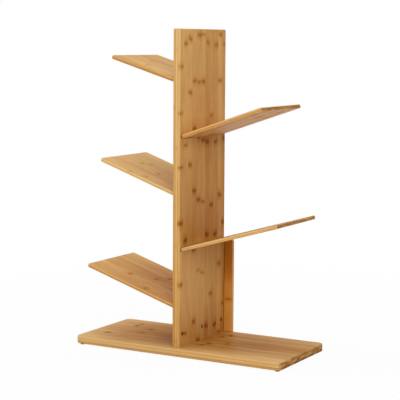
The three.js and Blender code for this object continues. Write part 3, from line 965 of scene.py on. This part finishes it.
# Change of tone along a shelf, in mm out from the upright, and across it from its rear: partly the
# board's own tone and partly painted shade, lighter towards the tip
SHELF_TONES_AND_SHADE = {
    "left_bottom": ((0, 0.02), (50, 0.05), (100, 0.12), (140, 0.04), (190, -0.12), (237, -0.16)),
}
SHELF_CROSS_TONES_AND_SHADE = {
    "left_bottom": (
        (0, -0.15), (19, -0.15), (45, 0.1), (65, 0.12), (95, 0.05), (133, -0.06), (171, 0),
    ),
    "left_middle": ((0, -0.1), (57, -0.09), (95, 0), (133, 0.02), (171, 0.07)),
    "left_top": (
        (0, -0.13), (19, -0.13), (45, 0.09), (80, 0.05), (114, -0.03), (133, -0.05), (171, 0),
    ),
}


# Boards

# How deep in the upright a surface counts as part of a joint, which is darkened as glue and painted
# shade: under a face, an edge and the top
JOINT_UNDER_FACE = 0.4
JOINT_UNDER_EDGE = 1
JOINT_UNDER_TOP = 3

# How far glue and painted shade show on the brace and on a shelf beside the upright
BRACE_GLUE_AND_SHADE = 1
SHELF_GLUE_AND_SHADE = 1.1


def shelf_placing(side, height, tilt):
    rise = math.radians(tilt)
    outwards = (side * math.cos(rise), 0, math.sin(rise))
    upwards = (-side * math.sin(rise), 0, math.cos(rise))
    face = upright_high.x / MM
    return placing_of(outwards, upwards, (side * face, 0, base_high.z / MM + height))


def groove_cutter():
    """Stopped groove across the upright, a slot with half-round ends."""
    height = SHELF_THICKNESS + 2 * FIT
    bm = block(
        (-TONGUE - FIT, -GROOVE_REACH, -height / 2),
        (height + OVERRUN, GROOVE_REACH, height / 2),
    )
    ends = [e for e in bm.edges if along(e, 0)]
    round_edges(bm, ends, height / 2 - HAIR, GROOVE_SEGMENTS)
    bmesh.ops.translate(bm, vec=(0, 0, SHELF_THICKNESS / 2), verts=bm.verts)
    return bm


def add_upright():
    foot = base_high.z / MM
    thickness, depth, length = size_in_mm(upright_low, upright_high)
    placing = placing_of((0, 0, 1), (-1, 0, 0), (thickness / 2, 0, foot))
    shape = board(0, length, depth, thickness, UPRIGHT_CORNER, UPRIGHT_EDGE, round_start=False)
    piece = as_piece("upright", shape, placing)
    grooves = [
        moved(groove_cutter(), in_mm(shelf_placing(side, height, tilt)))
        for side, height, reach, tilt in SHELVES.values()
    ]
    nut_reach = NUT_LENGTH / 2 + FIT
    nut_holes = [
        moved(rod(NUT_RADIUS + FIT, -nut_reach, thickness), at(0, y, foot + NUT_HEIGHT) @ ALONG_X)
        for y in (-BOLT_ROW, 0, BOLT_ROW)
    ]
    cut(piece, grooves + nut_holes)
    # Inside the grooves and nut holes the upright is darkened: glue and painted shade
    inside = (
        thickness / 2 - JOINT_UNDER_FACE, depth / 2 - JOINT_UNDER_EDGE,
        foot + length - JOINT_UNDER_TOP,
    )
    finish = bamboo(
        "bamboo_upright", placing, UPRIGHT_WOOD, UPRIGHT_STRIPS, length, depth,
        marks=UPRIGHT_MARKS, marked_ply=0, tones=UPRIGHT_TONES_AND_SHADE, glue_and_shade=inside,
    )
    finish_piece(piece, finish, "upright_board")


def add_base():
    length, depth, thickness = size_in_mm(base_low, base_high)
    placing = placing_of((1, 0, 0), (0, 0, 1), (-length / 2, 0, base_low.z / MM))
    shape = board(0, length, depth, thickness, BASE_CORNER, BASE_EDGE)
    piece = as_piece("base", shape, placing)
    finish = bamboo(
        "bamboo_base", placing, BASE_WOOD, BASE_STRIPS, length, depth,
        marks=BASE_MARKS, marked_ply=2, tones=BASE_TONES_AND_SHADE, cross_tones_and_shade=BASE_CROSS_TONES_AND_SHADE,
        gloss=BASE_GLOSS,
    )
    finish_piece(piece, finish, "base_board")


def add_brace():
    foot = base_high.z / MM
    width, thickness, length = size_in_mm(brace_low, brace_high)
    placing = placing_of((0, 0, 1), (0, -1, 0), (0, brace_high.y / MM, foot))
    shape = board(0, length, width, thickness, BRACE_CORNER, BRACE_EDGE, round_start=False)
    piece = as_piece("brace", shape, placing)
    # Beside the upright and along its foot the brace is darkened: glue and painted contact shadow
    glued_and_shaded = (upright_high.x / MM + BRACE_GLUE_AND_SHADE, upright_high.y / MM + BRACE_GLUE_AND_SHADE)
    finish = bamboo(
        "bamboo_brace", placing, BRACE_WOOD, BRACE_STRIPS, length, width,
        marks=BRACE_MARKS, marked_ply=1, tones=BRACE_TONES_AND_SHADE, glue_and_shade=glued_and_shaded, foot=foot,
        Plies=2, Ply_Thickness=thickness / 2 * MM,
    )
    finish_piece(piece, finish, "rear_brace")


def add_shelf(name, side, height, reach, tilt):
    placing = shelf_placing(side, height, tilt)
    shape = board(
        -TONGUE, reach, SHELF_DEPTH, SHELF_THICKNESS, SHELF_CORNER, SHELF_EDGE, round_start=False,
    )
    piece = as_piece("shelf_board_" + name, shape, placing)
    marks = SHELF_MARKS.get(name, ())
    # The shelf's root beside the upright is darkened: glue and painted shade in the groove's mouth
    finish = bamboo(
        "bamboo_" + name, placing, {**WOOD, **SHELF_WOOD[name]}, SHELF_STRIPS, reach, SHELF_DEPTH,
        marks=marks, marked_ply=1 if marks else -1, tones=SHELF_TONES_AND_SHADE.get(name, ()),
        cross_tones_and_shade=SHELF_CROSS_TONES_AND_SHADE.get(name, ()), glue_and_shade=(upright_high.x / MM + SHELF_GLUE_AND_SHADE,),
        Plies=2, Ply_Thickness=SHELF_THICKNESS / 2 * MM,
    )
    finish_piece(piece, finish, "shelf_" + name)


# Hardware

def add_nut(row, y):
    half = NUT_LENGTH / 2
    flat = NUT_RADIUS - NUT_CHAMFER
    body = turned([
        (0, -half), (flat, -half), (NUT_RADIUS, NUT_CHAMFER - half),
        (NUT_RADIUS, half - NUT_CHAMFER), (flat, half), (0, half),
    ])
    middle = at(0, y, base_high.z / MM + NUT_HEIGHT)
    piece = as_piece("barrel_nut_" + row + "_steel", moved(body, middle @ ALONG_X))
    slot = block(
        (half - NUT_SLOT_DEPTH, -NUT_SLOT_WIDTH / 2, -half),
        (half + OVERRUN, NUT_SLOT_WIDTH / 2, half),
    )
    bore = rod(NUT_BORE, -half, half)
    cut(piece, [moved(slot, middle), moved(bore, middle)])
    finish_piece(piece, dark_steel, "barrel_nut_" + row)


def add_bolt(row, y):
    low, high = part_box("base_bolt_" + row)
    length = (high.z - low.z) / MM
    ease = BOLT_EASE * BOLT_EASE_SHARE
    body = turned([
        (0, 0), (BOLT_HEAD - BOLT_EASE, 0), (BOLT_HEAD - ease, ease), (BOLT_HEAD, BOLT_EASE),
        (BOLT_HEAD, BOLT_HEAD_HEIGHT), (BOLT_SHANK, BOLT_HEAD_HEIGHT),
        (BOLT_SHANK, length - BOLT_EASE), (BOLT_SHANK - BOLT_EASE, length), (0, length),
    ])
    foot = at(0, y, low.z / MM)
    piece = as_piece("bolt_" + row + "_steel", moved(body, foot))
    socket = rod(HEXAGON_RADIUS, -OVERRUN, HEXAGON_DEPTH, HEXAGON_STEPS)
    cut(piece, [moved(socket, foot)])
    finish_piece(piece, zinc_steel, "base_bolt_" + row)


def add_screw(name, length, placing):
    """Countersunk screw with a crossed recess; its head is at the placing's origin."""
    body = turned([
        (0, 0), (SCREW_HEAD, 0), (SCREW_HEAD, SCREW_RIM), (SCREW_SHANK, SCREW_HEAD_HEIGHT),
        (SCREW_SHANK, length * (1 - SCREW_TIP_SHARE)), (0, length),
    ])
    piece = as_piece(name + "_steel", moved(body, placing))
    half = RECESS_WIDTH / 2
    cross = [
        block((-RECESS_REACH, -half, -OVERRUN), (RECESS_REACH, half, RECESS_DEPTH)),
        block((-half, -RECESS_REACH, -OVERRUN), (half, RECESS_REACH, RECESS_DEPTH)),
    ]
    cut(piece, [moved(bm, placing) for bm in cross])
    finish_piece(piece, zinc_steel, name)


def add_brace_screws():
    length = (brace_high.z - brace_low.z) / MM
    for name, share in BRACE_SCREW_SHARES.items():
        low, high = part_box("brace_screw_" + name)
        head = at(0, brace_high.y / MM, base_high.z / MM + length * share)
        add_screw("brace_screw_" + name, (high.y - low.y) / MM, head @ FORWARDS)


def add_brace_foot_screws():
    for name in ("brace_foot_screw_left", "brace_foot_screw_right"):
        low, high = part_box(name)
        middle = (low + high) / 2 / MM
        add_screw(name, (high.z - low.z) / MM, at(middle.x, middle.y, low.z / MM))


def add_foot(node):
    low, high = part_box(node)
    radius = (high.x - low.x) / 2 / MM
    height = (high.z - low.z) / MM
    inwards, upwards = (FOOT_EASE * share for share in FOOT_EASE_SHARES)
    pad = turned([
        (0, 0), (radius - FOOT_EASE, 0), (radius - inwards, upwards), (radius, FOOT_EASE),
        (radius, height), (0, height),
    ])
    middle = (low + high) / 2 / MM
    name = node.replace("foot_pad", "foot_rubber")
    piece = as_piece(name, moved(pad, at(middle.x, middle.y, 0)))
    finish_piece(piece, rubber, node)


def finish_dowel(solid):
    solid.data.materials.clear()
    solid.data.materials.append(beech)


add_upright()
add_base()
add_brace()
for shelf, plan in SHELVES.items():
    add_shelf(shelf, *plan)
for row, y in (("front", -BOLT_ROW), ("middle", 0), ("rear", BOLT_ROW)):
    add_nut(row, y)
    add_bolt(row, y)
add_brace_screws()
add_brace_foot_screws()
for node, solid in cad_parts.items():
    if node.startswith("foot_pad"):
        add_foot(node)
    elif "dowel" in node:
        finish_dowel(solid)


# Stage, light and camera

# The floor's reach in millimetres, its grey, and how it turns white away from the object, in metres
FLOOR_REACH = 40000
FLOOR_GREY = (0.85, 0.85, 0.85, 1)
FLOOR_GLOW = (0.3, 1.6, 0.95, 1.0)
WHITE = (1, 1, 1, 1)
WORLD_LIGHT = 0.16

# Where all lamps point, and each lamp: place and size in metres, watts
LAMP_TARGET = (0, 0, 0.35)
LAMPS = {
    "overhead": ((0, 0, 3.2), 3.0, 36),
    "left": ((-2.8, -0.6, 2.4), 1.8, 46),
    "right_front": ((2.4, -2.4, 1.6), 1.8, 43),
    "right": ((2.8, -0.9, 2.4), 1.8, 11),
    "front": ((0.3, -3.2, 1.6), 1.8, 12),
    "behind": ((0.5, 2.6, 2.8), 1.8, 22),
}

# Camera: degrees round the object, above it and of roll, what it looks at and how far away it is
# in metres, lens and sensor in millimetres
CAMERA_ANGLES = (29.522, 6.733, 0.345)
CAMERA_TARGET = (0.00156, 0, 0.33428)
CAMERA_DISTANCE = 2.951
CAMERA_LENS = 120.165
CAMERA_SENSOR = 36
CAMERA_NEAR = 0.1
CAMERA_FAR = 200


def add_floor():
    bm = bmesh.new()
    bmesh.ops.create_grid(bm, x_segments=1, y_segments=1, size=FLOOR_REACH)
    floor = as_piece("floor", bm)
    material, w, shader = plain_material("pale_floor", roughness=0.9)
    away = w.vector("LENGTH", w.node("ShaderNodeTexCoord").outputs["Object"], output=1)
    shader.inputs["Base Color"].default_value = FLOOR_GREY
    shader.inputs["Specular IOR Level"].default_value = 0.0
    white = w.node("ShaderNodeEmission")
    white.inputs["Color"].default_value = WHITE
    mixed = w.node("ShaderNodeMixShader")
    w.feed(mixed.inputs[0], w.sum("MULTIPLY", w.seen(), w.spread(away, *FLOOR_GLOW)))
    w.feed(mixed.inputs[1], shader.outputs[0])
    w.feed(mixed.inputs[2], white.outputs[0])
    out = material.node_tree.nodes["Material Output"]
    w.feed(out.inputs["Surface"], mixed.outputs[0])
    floor.data.materials.append(material)


def add_world():
    world = bpy.data.worlds.new("studio")
    bpy.context.scene.world = world
    world.use_nodes = True
    w = Wires(world.node_tree)
    w.tree.nodes.clear()
    light = w.node("ShaderNodeBackground")
    light.inputs["Color"].default_value = WHITE
    w.feed(light.inputs["Strength"], w.value(w.seen(), WORLD_LIGHT, 1.0))
    out = w.node("ShaderNodeOutputWorld")
    w.feed(out.inputs["Surface"], light.outputs[0])


def add_lamp(name, place, size, watts):
    lamp = bpy.data.lights.new(name, "AREA")
    lamp.shape = "DISK"
    lamp.size = size
    lamp.energy = watts
    holder = bpy.data.objects.new(name, lamp)
    bpy.context.scene.collection.objects.link(holder)
    holder.location = place
    aim = Vector(LAMP_TARGET) - Vector(place)
    holder.rotation_euler = aim.to_track_quat("-Z", "Y").to_euler()


def add_camera():
    """Camera at the photograph's angle: direction, roll, distance and lens."""
    azimuth, elevation, roll = (math.radians(angle) for angle in CAMERA_ANGLES)
    back = Vector((
        math.sin(azimuth) * math.cos(elevation),
        -math.cos(azimuth) * math.cos(elevation),
        math.sin(elevation),
    ))
    right = (-back).cross(Vector((0, 0, 1))).normalized()
    up = right.cross(-back)
    side = right * math.cos(roll) + up * math.sin(roll)
    top = up * math.cos(roll) - right * math.sin(roll)
    turn = Matrix((side, top, back)).transposed().to_4x4()
    place = Vector(CAMERA_TARGET) + back * CAMERA_DISTANCE
    camera = bpy.data.objects.new("camera", bpy.data.cameras.new("camera"))
    bpy.context.scene.collection.objects.link(camera)
    camera.matrix_world = Matrix.Translation(place) @ turn
    camera.data.sensor_width = CAMERA_SENSOR
    camera.data.lens = CAMERA_LENS
    camera.data.clip_start = CAMERA_NEAR
    camera.data.clip_end = CAMERA_FAR
    bpy.context.scene.camera = camera


add_floor()
add_world()
for lamp_name, lamp_plan in LAMPS.items():
    add_lamp(lamp_name, *lamp_plan)
add_camera()

bpy.context.scene.view_settings.view_transform = "Standard"
